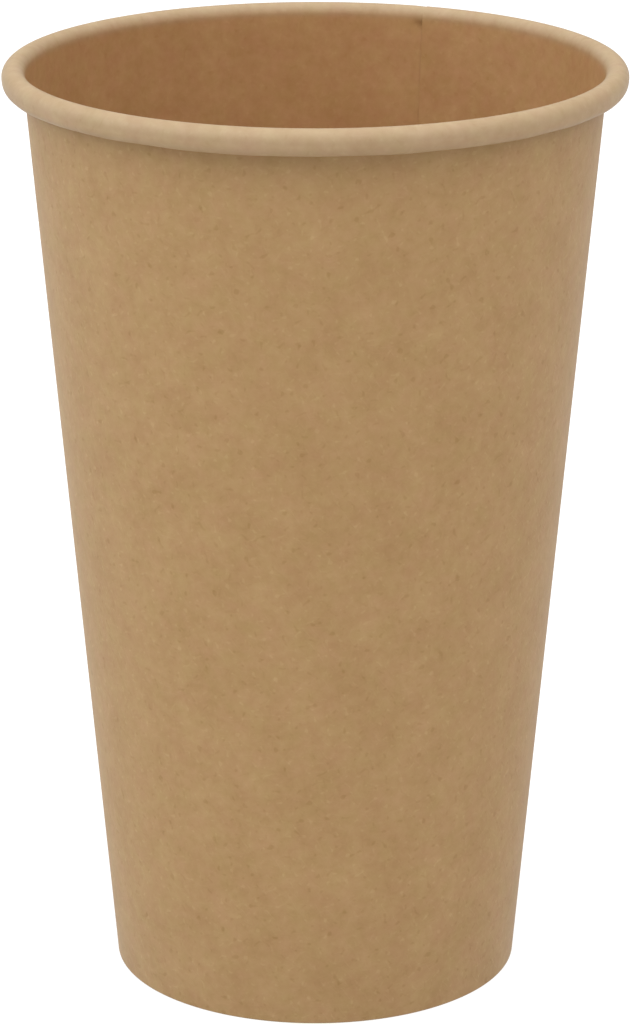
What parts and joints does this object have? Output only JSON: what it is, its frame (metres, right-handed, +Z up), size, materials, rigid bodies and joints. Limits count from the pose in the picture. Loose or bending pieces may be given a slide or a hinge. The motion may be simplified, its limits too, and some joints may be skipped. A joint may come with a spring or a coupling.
{
  "type": "paper cup",
  "caption": "Tall single-wall kraft paper cup with a rolled rim, a lapped side seam and a recessed base held by the folded-in foot.",
  "frame": {"origin": "centre of the foot, on the surface that the cup stands on", "axes": "+Z up along the cup's axis, through the centre of the rim; the picture looks along +Y, and the side seam lies 67 degrees from +X towards +Y"},
  "size_m": [0.09, 0.09, 0.137],
  "materials": {
    "kraft_board": "matte natural kraft board, with a thin clear lining inside",
    "base_board": "matte natural kraft board, with a thin clear lining on the drink's side"
  },
  "bodies": {
    "root": {"side_wall": "kraft_board", "base_disc": "base_board"}
  },
  "joints": []
}
